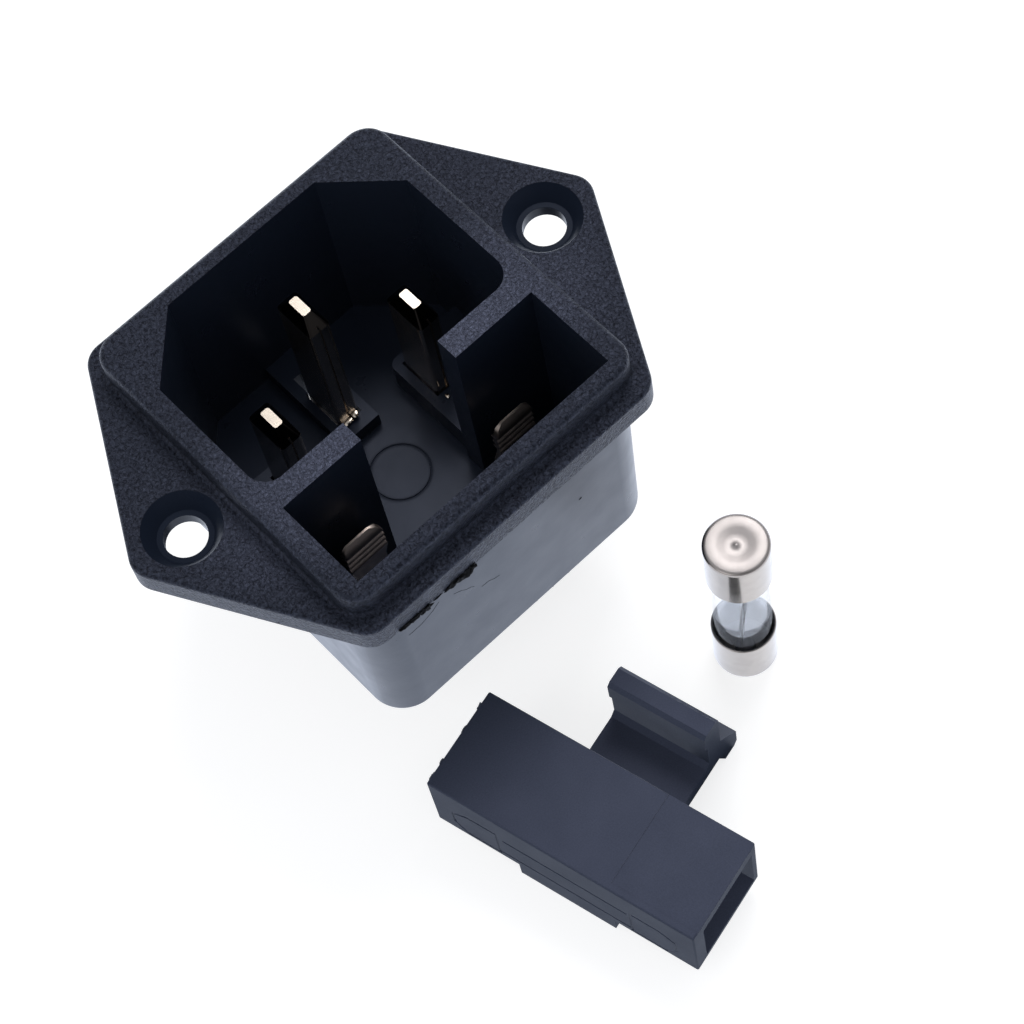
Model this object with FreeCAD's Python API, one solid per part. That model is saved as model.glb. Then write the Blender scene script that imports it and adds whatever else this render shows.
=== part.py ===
import FreeCAD, Part
import math
import os

from FreeCAD import Vector

# Panel inlet socket for a detachable mains cord, with its fuse drawer and its fuse taken out
# and set beside it. All lengths are millimetres. The origin is midway between the two screw
# holes, on the face of the flange that meets the panel. X runs through the screw holes, +Y points
# to the bevelled side of the socket, +Z points out of the front.

# Flange with two countersunk screw holes
hole_pitch = 36.0
hole_d = 3.4
countersink_d = 6.2
countersink_seat_d = 4.3
countersink_depth = 1.4
flange_t = 2.5
flange_tip_x = 22.9
flange_flat_half_x = 13.9
flange_half_y = 16.35
flange_corner_r = 2.0
flange_edge_r = 0.35

# Raised front with the two openings
plateau_h = 2.5
plateau_edge_r = 0.5
plateau_corner_r = 2.0
plateau_foot_r = 0.4
end_wall_t = 1.4
side_wall_t = 1.75
divider_t = 2.0

# Socket opening: bevelled on the earth side, rounded on the side of the fuse bay
recess_x = 24.6
recess_y = 16.8
recess_bevel = 5.0
recess_corner_r = 1.8
recess_depth = 16.5

# Fuse bay and the gap that joins it to the socket opening
bay_x = 24.4
bay_y = 8.2
bay_depth = 19.1
gap_x = 9.3
ejector_d = 4.9
ejector_y = -0.45
ejector_ring_w = 0.15
ejector_ring_depth = 0.08

# Body behind the flange, which narrows a little towards its back
body_depth = 18.2
body_draft_deg = 1.0
body_overhang = 0.2
body_corner_r = 3.2
body_edge_r = 0.5
floor_t = 2.0
back_rim_t = 1.5
least_corner_r = 0.5

# Raised pads round the feet of the pins
pad_inner_x = 5.1
pad_reach_y = 2.9
pad_corner_r = 0.8
earth_pad_x = 3.7
earth_pad_h = 1.5
earth_pad_reach = 1.4

# Pins, folded from sheet, with pyramid tips and a seam down the side that faces the fuse bay
pin_t = 2.0
pin_w = 4.0
pin_spacing = 14.0
pin_row_drop = 1.8
earth_pin_offset = 4.0
earth_pin_setback = 1.9
line_pin_setback = 4.9
pin_tip_t = 0.8
pin_tip_w = 1.8
pin_tip_l = 1.4
pin_edge_r = 0.35
pin_tip_r = 0.2
pin_seam_w = 0.16
pin_seam_depth = 0.3
slot_clearance = 0.1
earth_slot_relief = 1.8

# Push-on tabs at the back
tab_w = 4.8
tab_t = 0.8
tab_l = 9.0
tab_hole_d = 1.8
tab_hole_setback = 3.2
tab_bevel = 1.0

# Spring strips that grip the fuse
clip_t = 0.5
clip_w = 3.6
line_clip_x = -8.0
live_clip_x = 7.1
line_clip_setback = 9.1
live_clip_setback = 10.7
clip_ridge = 0.3
clip_ridge_pitch = 0.78
clip_ridges = 3
clip_bow = 0.45
clip_lip_l = 0.45
clip_lip_lean = 0.55
clip_flat_l = 0.3
clip_preload = 0.2
clip_bow_l = 2.7
clip_corner_r = 0.95
clip_small_r = 0.5
link_t = 0.8
link_reach = 1.1

# Fuse, 5 x 20
fuse_d = 5.2
fuse_l = 20.0
cap_l = 5.2
cap_wall_t = 0.25
cap_end_t = 0.35
cap_edge_r = 0.3
cap_dimple_d = 3.4
cap_dimple_depth = 0.18
tube_bore_d = 3.9
wire_d = 0.14
wire_lean = 0.7
solder_d = 1.7
solder_h = 0.7
solder_steps = 3
spare_room = 0.1

# Fuse drawer: a box for a spare fuse, an open channel for the fuse in use, a snap plate and a foot
drawer_clearance = 0.25
drawer_box_depth = 8.8
drawer_front_t = 1.3
drawer_roof_t = 1.3
drawer_wall_t = 0.6
drawer_end_t = 1.2
drawer_edge_r = 0.15
web_x = 8.75
web_t = 1.6
plate_t = 1.75
plate_chamfer = 0.35
snap_lip = 0.25
snap_lip_h = 2.6
foot_reach = 2.1
foot_t = 1.7
foot_ramp_h = 2.6
foot_toe = 0.4
tongue_drop = 1.85
tongue_t = 3.0
roof_step = 0.08
plate_foot_r = 0.5

# Where the two loose pieces stand, in front of the flange's lower edge
drawer_corner_x = -15.5
drawer_to_flange = 3.5
drawer_turn_deg = -76.0
fuse_x = 12.0
fuse_to_flange = 9.8

# Lengths that only help the shapes to cut or join cleanly
overlap = 1.0
same_level = 1e-6

# Levels and places that follow from the sizes above
front_z = flange_t + plateau_h
cavity_floor_z = front_z - bay_depth
pad_top_z = front_z - recess_depth
earth_pad_top_z = cavity_floor_z + earth_pad_h
floor_back_z = cavity_floor_z - floor_t
body_back_z = -body_depth
bench_z = body_back_z - tab_l

plateau_half_x = recess_x / 2 + side_wall_t
plateau_half_y = (2 * end_wall_t + bay_y + divider_t + recess_y) / 2
bay_low_y = -plateau_half_y + end_wall_t
bay_high_y = bay_low_y + bay_y
recess_low_y = bay_high_y + divider_t
recess_high_y = recess_low_y + recess_y

line_pin_y = (recess_low_y + recess_high_y) / 2 - pin_row_drop
earth_pin_y = line_pin_y + earth_pin_offset
earth_pad_low_y = earth_pin_y - pin_w / 2 - earth_pad_reach

# The side of the fuse that the spring strips press on, with the drawer pushed in
fuse_side_y = bay_high_y - drawer_clearance - web_t
clip_contact_y = fuse_side_y - clip_preload

drawer_l = bay_x - 2 * drawer_clearance
drawer_h = bay_y - 2 * drawer_clearance
channel = fuse_d + spare_room


def rounded_outline(corners, radii, z=0.0):
    """Closed wire through the corners at height z, each rounded by its own radius."""
    count = len(corners)
    starts, middles, ends = [], [], []
    for i in range(count):
        corner = Vector(*corners[i], z)
        before = Vector(*corners[i - 1], z) - corner
        after = Vector(*corners[(i + 1) % count], z) - corner
        half_angle = before.getAngle(after) / 2
        before.normalize()
        after.normalize()
        reach = radii[i] / math.tan(half_angle)
        inward = before + after
        inward.normalize()
        starts.append(corner + before * reach)
        middles.append(corner + inward * (radii[i] / math.sin(half_angle) - radii[i]))
        ends.append(corner + after * reach)
    edges = []
    for i in range(count):
        if radii[i] > 0:
            edges.append(Part.Arc(starts[i], middles[i], ends[i]).toShape())
        edges.append(Part.LineSegment(ends[i], starts[(i + 1) % count]).toShape())
    return Part.Wire(edges)


def prism(wire, height):
    return Part.Face(wire).extrude(Vector(0, 0, height))


def rectangle(half_x, low_y, high_y, radius, z=0.0):
    corners = [(-half_x, low_y), (half_x, low_y), (half_x, high_y), (-half_x, high_y)]
    return rounded_outline(corners, [radius] * 4, z)


def block(low, high):
    """Box between two opposite corners."""
    size = [b - a for a, b in zip(low, high)]
    return Part.makeBox(*size, Vector(*low))


def round_edges_at(shape, z, radius):
    """Rounds the edges that lie flat at height z."""
    edges = []
    for edge in shape.Edges:
        box = edge.BoundBox
        if max(abs(box.ZMin - z), abs(box.ZMax - z)) < same_level:
            edges.append(edge)
    return shape.makeFillet(radius, edges)


def flange():
    corners = [
        (-flange_flat_half_x, -flange_half_y),
        (flange_flat_half_x, -flange_half_y),
        (flange_tip_x, 0),
        (flange_flat_half_x, flange_half_y),
        (-flange_flat_half_x, flange_half_y),
        (-flange_tip_x, 0),
    ]
    plate = prism(rounded_outline(corners, [flange_corner_r] * 6), flange_t)
    plate = round_edges_at(plate, flange_t, flange_edge_r)
    for side in (-1, 1):
        x = side * hole_pitch / 2
        hole = Part.makeCylinder(hole_d / 2, flange_t, Vector(x, 0, 0))
        seat = Vector(x, 0, flange_t - countersink_depth)
        sink = Part.makeCone(countersink_seat_d / 2, countersink_d / 2, countersink_depth, seat)
        plate = plate.cut([hole, sink])
    return plate


def plateau():
    outline = rectangle(plateau_half_x, -plateau_half_y, plateau_half_y, plateau_corner_r)
    return round_edges_at(prism(outline, front_z), front_z, plateau_edge_r)


def coved_front():
    """Flange and raised front joined by a small hollow fillet."""
    solid = flange().fuse(plateau()).removeSplitter()
    edges = []
    for edge in solid.Edges:
        box = edge.BoundBox
        level = max(abs(box.ZMin - flange_t), abs(box.ZMax - flange_t)) < same_level
        across = max(abs(box.XMin), abs(box.XMax)) < plateau_half_x + same_level
        along = max(abs(box.YMin), abs(box.YMax)) < plateau_half_y + same_level
        if level and across and along:
            edges.append(edge)
    return solid.makeFillet(plateau_foot_r, edges)


def body():
    narrowing = body_depth * math.tan(math.radians(body_draft_deg))
    half_x = plateau_half_x - body_overhang
    half_y = plateau_half_y + body_overhang
    root = rectangle(half_x, -half_y, half_y, body_corner_r)
    back_x = half_x - narrowing
    back_y = half_y - narrowing
    back = rectangle(back_x, -back_y, back_y, body_corner_r - narrowing / 2, body_back_z)
    shell = round_edges_at(Part.makeLoft([root, back], True, True), body_back_z, body_edge_r)
    pocket_r = max(body_corner_r - back_rim_t, least_corner_r)
    pocket_y = back_y - back_rim_t
    pocket = rectangle(back_x - back_rim_t, -pocket_y, pocket_y, pocket_r, body_back_z)
    return shell.cut(prism(pocket, floor_back_z - body_back_z))


def recess_outline(z):
    half = recess_x / 2
    corners = [
        (-half, recess_low_y),
        (half, recess_low_y),
        (half, recess_high_y - recess_bevel),
        (half - recess_bevel, recess_high_y),
        (recess_bevel - half, recess_high_y),
        (-half, recess_high_y - recess_bevel),
    ]
    radii = [recess_corner_r, recess_corner_r, 0, 0, 0, 0]
    return rounded_outline(corners, radii, z)


def pads():
    """Raised pads under the pins, one in each lower corner of the recess, and a rib for the earth pin."""
    room = prism(recess_outline(cavity_floor_z), recess_depth)
    pad_high_y = line_pin_y + pad_reach_y
    pad_low_y = recess_low_y - divider_t / 2
    shapes = []
    for side in (-1, 1):
        inner = side * pad_inner_x
        outer = side * plateau_half_x
        corners = [(inner, pad_low_y), (outer, pad_low_y), (outer, pad_high_y), (inner, pad_high_y)]
        outline = rounded_outline(corners, [0, 0, 0, pad_corner_r], cavity_floor_z)
        shapes.append(prism(outline, pad_top_z - cavity_floor_z).common(room))
    rib = rectangle(earth_pad_x / 2, earth_pad_low_y, recess_high_y, 0, cavity_floor_z)
    shapes.append(prism(rib, earth_pad_h))
    return shapes


def openings():
    top_z = front_z + overlap
    recess = prism(recess_outline(cavity_floor_z), top_z - cavity_floor_z)
    bay = block((-bay_x / 2, bay_low_y, cavity_floor_z), (bay_x / 2, bay_high_y, top_z))
    gap_low = (-gap_x / 2, bay_high_y - overlap, cavity_floor_z)
    gap_high = (gap_x / 2, recess_low_y + overlap, top_z)
    return [recess, bay, block(gap_low, gap_high)]


def floor_slot(x, y, size_x, size_y, top_z):
    half_x = size_x / 2 + slot_clearance
    half_y = size_y / 2 + slot_clearance
    low = (x - half_x, y - half_y, floor_back_z - overlap)
    high = (x + half_x, y + half_y, top_z + overlap)
    return block(low, high)


def slots():
    cuts = [
        floor_slot(-pin_spacing / 2, line_pin_y, pin_t, pin_w, pad_top_z),
        floor_slot(pin_spacing / 2, line_pin_y, pin_t, pin_w, pad_top_z),
        floor_slot(0, earth_pin_y, pin_t, pin_w, earth_pad_top_z),
    ]
    relief_y = earth_pin_y + pin_w / 2 + earth_slot_relief / 2
    cuts.append(floor_slot(-pin_t / 4, relief_y, pin_t / 4, earth_slot_relief, earth_pad_top_z))
    for x in (line_clip_x, live_clip_x):
        cuts.append(floor_slot(x, clip_foot_y(), clip_w, clip_t, cavity_floor_z))
    return cuts


def ejector_ring():
    """Ring that the ejector pin left on the floor."""
    start = Vector(0, ejector_y, cavity_floor_z - ejector_ring_depth)
    height = ejector_ring_depth + overlap
    disc = Part.makeCylinder(ejector_d / 2 + ejector_ring_w / 2, height, start)
    return disc.cut(Part.makeCylinder(ejector_d / 2 - ejector_ring_w / 2, height, start))


def housing():
    solid = coved_front().fuse(body())
    solid = solid.cut(openings())
    solid = solid.fuse(pads()).removeSplitter()
    return solid.cut(slots() + [ejector_ring()])


def blade(x, y, tip_z, foot_z):
    """Flat pin standing on foot_z, with a pyramid tip and a seam on its -Y edge."""
    neck_z = tip_z - pin_tip_l
    wide = rectangle(pin_t / 2, -pin_w / 2, pin_w / 2, pin_edge_r, neck_z)
    narrow = rectangle(pin_tip_t / 2, -pin_tip_w / 2, pin_tip_w / 2, pin_tip_r, tip_z)
    tip = Part.makeLoft([wide, narrow], True, True)
    shank = prism(wide, foot_z - neck_z)
    for shape in (tip, shank):
        shape.translate(Vector(x, y, 0))
    edge_y = y - pin_w / 2
    seam_low = (x - pin_seam_w / 2, edge_y - overlap, pad_top_z)
    seam_high = (x + pin_seam_w / 2, edge_y + pin_seam_depth, tip_z)
    return shank.fuse(tip).cut(block(seam_low, seam_high)).removeSplitter()


def tab(x, y, top_z, thickness, along_x):
    """Push-on tab that hangs from top_z to the bench level, its width along X or along Y."""
    half = tab_w / 2
    corners = [
        (-half, bench_z + tab_bevel),
        (tab_bevel - half, bench_z),
        (half - tab_bevel, bench_z),
        (half, bench_z + tab_bevel),
        (half, top_z),
        (-half, top_z),
    ]
    points = [Vector(-thickness / 2, across, z) for across, z in corners]
    plate = Part.Face(Part.makePolygon(points + points[:1])).extrude(Vector(thickness, 0, 0))
    hole_start = Vector(-thickness / 2, 0, bench_z + tab_hole_setback)
    plate = plate.cut(Part.makeCylinder(tab_hole_d / 2, thickness, hole_start, Vector(1, 0, 0)))
    if along_x:
        plate.rotate(Vector(0, 0, 0), Vector(0, 0, 1), 90)
    plate.translate(Vector(x, y, 0))
    return plate


def clip_foot_y():
    """Middle of a spring strip where it passes the floor."""
    return clip_contact_y + clip_t / 2 + clip_ridge + clip_bow


def strip_profile(top_z, bottom_z):
    """Front line of a spring strip as (y, z) points: lip, flat, ridges for the fuse, bow and foot."""
    foot_y = clip_foot_y() - clip_t / 2
    crest_z = top_z - clip_lip_l
    line = [(clip_contact_y + clip_lip_lean, top_z), (clip_contact_y, crest_z)]
    crest_z -= clip_flat_l
    line.append((clip_contact_y, crest_z))
    for _ in range(clip_ridges):
        line.append((clip_contact_y + clip_ridge, crest_z - clip_ridge_pitch / 2))
        crest_z -= clip_ridge_pitch
        line.append((clip_contact_y, crest_z))
    line.append((foot_y, crest_z - clip_bow_l))
    line.append((foot_y, bottom_z))
    return line


def strip_outline(x, top_z, bottom_z, rounded_side):
    """Strip seen from the front, one top corner rounder, thick enough to trim the bent strip."""
    low_x = x - clip_w / 2
    high_x = x + clip_w / 2
    corners = [(low_x, bottom_z), (high_x, bottom_z), (high_x, top_z), (low_x, top_z)]
    top_radii = [clip_corner_r, clip_small_r] if rounded_side > 0 else [clip_small_r, clip_corner_r]
    cutter = prism(rounded_outline(corners, [0, 0] + top_radii), bay_y)
    cutter.rotate(Vector(0, 0, 0), Vector(1, 0, 0), 90)
    cutter.translate(Vector(0, clip_contact_y + bay_y / 2, 0))
    return cutter


def spring_strip(x, setback, bottom_z, rounded_side):
    """Strip that stands in the bay and presses on the fuse, its lip cut off square."""
    top_z = front_z - setback
    front = strip_profile(top_z, bottom_z)
    back = [(y + clip_t, z) for y, z in front]
    lean = math.atan2(clip_lip_lean, clip_lip_l)
    cut = clip_t * math.sin(lean)
    back[0] = (back[0][0] - cut * math.sin(lean), top_z - cut * math.cos(lean))
    points = [Vector(x - clip_w / 2, y, z) for y, z in front + back[::-1]]
    strip = Part.Face(Part.makePolygon(points + points[:1])).extrude(Vector(clip_w, 0, 0))
    return strip.common(strip_outline(x, top_z, bottom_z, rounded_side))


def earth_pin():
    pin = blade(0, earth_pin_y, front_z - earth_pin_setback, floor_back_z)
    return pin.fuse(tab(0, earth_pin_y, floor_back_z, tab_t, False))


def neutral_pin():
    x = pin_spacing / 2
    pin = blade(x, line_pin_y, front_z - line_pin_setback, floor_back_z)
    return pin.fuse(tab(x, line_pin_y, floor_back_z, tab_t, False))


def line_pin():
    """Pin whose foot is bent flat against the back of the floor."""
    x = -pin_spacing / 2
    pin = blade(x, line_pin_y, front_z - line_pin_setback, floor_back_z)
    low = (x - clip_w / 2, line_pin_y - pin_w / 2 - link_reach, floor_back_z - link_t)
    high = (x + clip_w / 2, line_pin_y + pin_w / 2, floor_back_z)
    return pin.fuse(block(low, high)).removeSplitter()


def line_fuse_clip():
    """Spring strip for the cord side of the fuse, with a flat link to the foot of its pin."""
    link_top_z = floor_back_z - link_t
    strip = spring_strip(line_clip_x, line_clip_setback, link_top_z - clip_t, 1)
    low_y = clip_foot_y() - clip_t / 2
    low_x = min(line_clip_x, -pin_spacing / 2) - clip_w / 2
    high_x = max(line_clip_x, -pin_spacing / 2) + clip_w / 2
    low = (low_x, low_y, link_top_z - clip_t)
    high = (high_x, line_pin_y + pin_w / 2, link_top_z)
    return strip.fuse(block(low, high)).removeSplitter()


def live_terminal():
    """Spring strip for the equipment side of the fuse, which goes on as a push-on tab."""
    strip = spring_strip(live_clip_x, live_clip_setback, floor_back_z, -1)
    return strip.fuse(tab(live_clip_x, clip_foot_y(), floor_back_z, clip_t, True)).removeSplitter()


def on_bench(shape):
    """Sets a drawer shape, drawn upright in its own frame, in its place on the bench."""
    shape.rotate(Vector(0, 0, 0), Vector(0, 0, 1), drawer_turn_deg)
    shape.translate(Vector(drawer_corner_x, -flange_half_y - drawer_to_flange, bench_z + tongue_drop))
    return shape


def drawer_box():
    box = block((0, 0, 0), (drawer_l, drawer_box_depth, drawer_h))
    return box.makeFillet(drawer_edge_r, box.Edges)


def drawer_middle():
    """Web, snap plate and foot, drawn as one profile across the drawer and drawn out to the web's width."""
    plate_y = drawer_box_depth + channel
    back_y = plate_y + plate_t
    foot_y = back_y + foot_reach
    lip_z = drawer_h - snap_lip_h
    profile = [
        (drawer_box_depth - overlap, 0),
        (back_y - foot_toe, 0),
        (foot_y - foot_t, -tongue_drop),
        (foot_y - foot_toe, -tongue_drop),
        (foot_y, foot_toe - tongue_drop),
        (foot_y, foot_toe),
        (back_y, foot_toe + foot_ramp_h),
        (back_y, drawer_h - plate_chamfer),
        (back_y - plate_chamfer, drawer_h),
        (plate_y + plate_chamfer - snap_lip, drawer_h),
        (plate_y - snap_lip, drawer_h - plate_chamfer),
        (plate_y - snap_lip, lip_z + snap_lip),
        (plate_y, lip_z),
        (plate_y, web_t + plate_foot_r),
        (plate_y - plate_foot_r, web_t),
        (drawer_box_depth - overlap, web_t),
    ]
    points = [Vector((drawer_l - web_x) / 2, y, z) for y, z in profile]
    return Part.Face(Part.makePolygon(points + points[:1])).extrude(Vector(web_x, 0, 0))


def spare_chamber():
    """Room for a spare fuse, open at the end of the drawer."""
    low = (drawer_end_t, drawer_front_t, drawer_wall_t)
    high = (drawer_l + overlap, drawer_box_depth - drawer_wall_t, drawer_h - drawer_roof_t)
    return block(low, high)


def fuse_drawer():
    low_x = (drawer_l - web_x) / 2
    high_x = low_x + web_x
    tongue = block((low_x, 0, -tongue_drop), (high_x, tongue_t, drawer_wall_t))
    step_high = (drawer_l + overlap, drawer_box_depth + overlap, drawer_h + overlap)
    step = block((high_x, drawer_wall_t, drawer_h - roof_step), step_high)
    solid = drawer_box().cut(step).fuse([tongue, drawer_middle()])
    return on_bench(solid.cut(spare_chamber()).removeSplitter())


def turned(profile, base_z):
    """Solid of revolution about the fuse's axis, from (radius, height) points above base_z."""
    points = [Vector(r, 0, z) for r, z in profile]
    solid = Part.Face(Part.makePolygon(points + points[:1])).revolve(Vector(0, 0, 0), Vector(0, 0, 1), 360)
    solid.translate(Vector(fuse_x, -flange_half_y - fuse_to_flange, base_z))
    return solid


def fuse_cap(upper):
    """Cup-shaped end cap, its end softly rounded and dimpled in the middle."""
    outer = fuse_d / 2
    inner = outer - cap_wall_t
    slope = cap_edge_r / 3
    profile = [
        (0, cap_dimple_depth),
        (cap_dimple_d / 4, cap_dimple_depth),
        (cap_dimple_d / 2, 0),
        (outer - cap_edge_r, 0),
        (outer - slope, slope),
        (outer, cap_edge_r),
        (outer, cap_l),
        (inner, cap_l),
        (inner, cap_end_t),
        (0, cap_end_t),
    ]
    if upper:
        profile = [(r, -z) for r, z in profile]
        return turned(profile, bench_z + fuse_l)
    return turned(profile, bench_z)


def fuse_tube():
    outer = fuse_d / 2 - cap_wall_t
    bore = tube_bore_d / 2
    height = fuse_l - 2 * cap_end_t
    return turned([(bore, 0), (outer, 0), (outer, height), (bore, height)], bench_z + cap_end_t)


def solder(upper):
    """Low dome of solder inside a cap, where the wire ends."""
    radius = solder_d / 2
    profile = [(0, 0)]
    for step in range(solder_steps):
        angle = math.radians(90 * step / solder_steps)
        profile.append((radius * math.cos(angle), solder_h * math.sin(angle)))
    profile.append((0, solder_h))
    if upper:
        profile = [(r, -z) for r, z in profile]
        return turned(profile, bench_z + fuse_l - cap_end_t)
    return turned(profile, bench_z + cap_end_t)


def fuse_wire():
    """Thin wire, a little aslant, from one dome of solder to the other."""
    x = fuse_x
    y = -flange_half_y - fuse_to_flange
    sink = solder_h / 2
    low = Vector(x - wire_lean / 2, y, bench_z + cap_end_t + sink)
    high = Vector(x + wire_lean / 2, y, bench_z + fuse_l - cap_end_t - sink)
    run = high - low
    wire = Part.makeCylinder(wire_d / 2, run.Length, low, run)
    return wire.cut([solder(False), solder(True)])


def build():
    return {
        "housing": housing(),
        "earth_pin": earth_pin(),
        "neutral_pin": neutral_pin(),
        "line_pin": line_pin(),
        "line_fuse_clip": line_fuse_clip(),
        "live_terminal": live_terminal(),
        "fuse_drawer": fuse_drawer(),
        "fuse_tube": fuse_tube(),
        "fuse_cap_upper": fuse_cap(True),
        "fuse_cap_lower": fuse_cap(False),
        "fuse_solder_upper": solder(True),
        "fuse_solder_lower": solder(False),
        "fuse_wire": fuse_wire(),
    }


os.makedirs("parts", exist_ok=True)
for node, shape in build().items():
    if shape.ShapeType == "Compound" and len(shape.Solids) == 1:
        shape = shape.Solids[0]
    shape.exportStep("parts/" + node + ".step")
    print(node, len(shape.Solids), shape.isValid(), round(shape.Volume, 2))
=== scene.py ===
import math

import bmesh
import bpy
from bpy.props import FloatProperty, FloatVectorProperty, PointerProperty
from mathutils import Euler, Matrix, Vector, noise


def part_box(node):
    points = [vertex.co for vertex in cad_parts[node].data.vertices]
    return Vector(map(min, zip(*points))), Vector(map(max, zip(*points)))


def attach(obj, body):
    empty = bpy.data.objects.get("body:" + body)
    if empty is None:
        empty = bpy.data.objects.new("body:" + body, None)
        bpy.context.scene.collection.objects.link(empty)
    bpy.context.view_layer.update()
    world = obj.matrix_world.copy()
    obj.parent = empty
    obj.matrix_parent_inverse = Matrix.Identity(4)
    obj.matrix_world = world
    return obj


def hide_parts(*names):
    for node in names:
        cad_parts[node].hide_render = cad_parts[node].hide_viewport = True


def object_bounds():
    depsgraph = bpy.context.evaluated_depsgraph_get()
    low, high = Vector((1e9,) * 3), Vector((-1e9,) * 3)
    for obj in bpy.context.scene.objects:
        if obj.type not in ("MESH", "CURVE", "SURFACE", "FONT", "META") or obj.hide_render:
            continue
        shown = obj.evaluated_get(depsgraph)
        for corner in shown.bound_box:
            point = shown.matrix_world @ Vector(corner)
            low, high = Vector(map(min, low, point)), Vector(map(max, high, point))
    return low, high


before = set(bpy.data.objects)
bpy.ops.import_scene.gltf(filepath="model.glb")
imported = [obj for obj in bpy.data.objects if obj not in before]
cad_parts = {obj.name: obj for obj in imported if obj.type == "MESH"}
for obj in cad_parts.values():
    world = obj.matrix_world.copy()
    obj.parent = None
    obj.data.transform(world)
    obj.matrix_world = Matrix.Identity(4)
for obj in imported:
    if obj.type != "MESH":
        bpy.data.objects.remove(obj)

bl_info = {
    "name": "Panel inlet socket",
    "version": (1, 0, 0),
    "blender": (4, 5, 0),
    "location": "View3D > Sidebar > Inlet",
    "description": "Dresses a panel inlet socket, its fuse drawer and its fuse",
    "category": "Object",
}

MM = 0.001
CAD_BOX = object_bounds()
BENCH_Z = CAD_BOX[0][2]
FRONT_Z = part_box("housing")[1].z
FUSE_LOW, FUSE_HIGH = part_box("fuse_cap_lower")[0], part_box("fuse_cap_upper")[1]
FUSE_X = (FUSE_LOW.x + FUSE_HIGH.x) / 2
FUSE_Y = (FUSE_LOW.y + FUSE_HIGH.y) / 2

# Faces of a cap that lie nearer to its axis than this belong to its inside
CAP_LINING_R = 2.47 * MM

NYLON_IOR = 1.58
SMOOTH_ANGLE = math.radians(35)

CAMERA_PLACE = Vector((-47.96, -97.76, 195.8)) * MM
CAMERA_TURN = Euler((0.44257, 0.10572, -0.74848))
CAMERA_LENS = 105.47

# Where the dark strip lies that the fuse mirrors, seen from the fuse
CARD_WAY = Vector((-0.83, -0.558, 0))
CARD_AWAY = 11.6 * MM
CARD_SIZE = 6 * MM

# The two screw holes and the rim of their countersinks
HOLE_X = 18 * MM
SINK_R = 3.08 * MM

# How far the recess and the bay reach from the middle, and the ejector pin's ring on the bay's floor
OPENINGS_HALF_X = 12.34 * MM
OPENINGS_HALF_Y = 13.54 * MM
EJECTOR_Y = -0.45 * MM
EJECTOR_R = 2.45 * MM

# The drawer's own frame: along its length, across towards its snap plate, and up
DRAWER_CORNER = Vector((-15.5, -19.85, -25.35)) * MM
DRAWER_TURN = math.radians(-76)


def linear(hex_colour):
    """An sRGB hex colour as linear red, green and blue."""
    parts = [int(hex_colour[i:i + 2], 16) / 255 for i in (0, 2, 4)]
    return tuple(p / 12.92 if p <= 0.04045 else ((p + 0.055) / 1.055) ** 2.4 for p in parts)


class InletSizes(bpy.types.PropertyGroup):
    grain: FloatProperty(
        name="Grain", description="Width of one pit of the eroded mould face", default=0.25 * MM,
        unit="LENGTH",
    )
    grain_depth: FloatProperty(
        name="Grain depth", description="Depth of the pits", default=0.12 * MM, unit="LENGTH",
    )
    mark_width: FloatProperty(
        name="Mark width", description="Width of the engraved fuse outline", default=0.26 * MM,
        unit="LENGTH",
    )
    mark_depth: FloatProperty(
        name="Mark depth", description="Depth of the engraved fuse outline", default=0.14 * MM,
        unit="LENGTH",
    )


class InletColours(bpy.types.PropertyGroup):
    moulding: FloatVectorProperty(
        name="Moulding", description="Black of the housing", subtype="COLOR", default=linear("1a202c"),
    )
    drawer: FloatVectorProperty(
        name="Drawer", description="Black of the fuse drawer", subtype="COLOR",
        default=linear("2b303c"),
    )
    nickel: FloatVectorProperty(
        name="Nickel", description="Plating of pins and clips", subtype="COLOR",
        default=linear("dccfc0"),
    )
    cap: FloatVectorProperty(
        name="Cap", description="Plating of the fuse caps", subtype="COLOR", default=linear("aea396"),
    )
    floor: FloatVectorProperty(
        name="Floor", description="Pale floor", subtype="COLOR", default=linear("f4f7fa"),
    )


def sizes():
    return bpy.context.scene.inlet_sizes


def colours():
    return bpy.context.scene.inlet_colours


def cool_gloss(shader):
    """Black nylon looks blue where it shines, and the carbon in it makes the shine strong."""
    shader.inputs["Specular Tint"].default_value = rgba(linear("bfc6ea"))
    shader.inputs["IOR"].default_value = NYLON_IOR


def rgba(colour):
    return (*colour[:3], 1)


def add_node(tree, kind, settings=(), values=(), links=()):
    """Adds a node: settings are its own fields, values its inputs, links the outputs that feed it."""
    made = tree.nodes.new("ShaderNode" + kind)
    for name, value in dict(settings).items():
        setattr(made, name, value)
    for name, value in dict(values).items():
        made.inputs[name].default_value = value
    for name, source in dict(links).items():
        tree.links.new(source, made.inputs[name])
    return made


def new_material(name):
    """An empty material, its node tree and its shader, already joined to the output."""
    material = bpy.data.materials.new(name)
    material.use_nodes = True
    tree = material.node_tree
    shader = tree.nodes["Principled BSDF"]
    return material, tree, shader


def painted_sheen_near_openings(tree, place):
    """1 on the bars between recess and bay, where the front's gloss is raised as painted sheen, and 0
    from 10 mm away.
    """
    shifted = add_node(tree, "VectorMath", {"operation": "ADD"}, {1: (0, 4 * MM, 0)}, {0: place})
    flat = add_node(
        tree, "VectorMath", {"operation": "MULTIPLY"}, {1: (0.5, 1, 0)}, {0: shifted.outputs[0]},
    )
    away = add_node(tree, "VectorMath", {"operation": "LENGTH"}, links={0: flat.outputs[0]})
    return add_node(
        tree, "MapRange", {}, {"From Min": 10 * MM, "From Max": 4 * MM},
        {"Value": away.outputs["Value"]},
    ).outputs["Result"]


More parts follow.
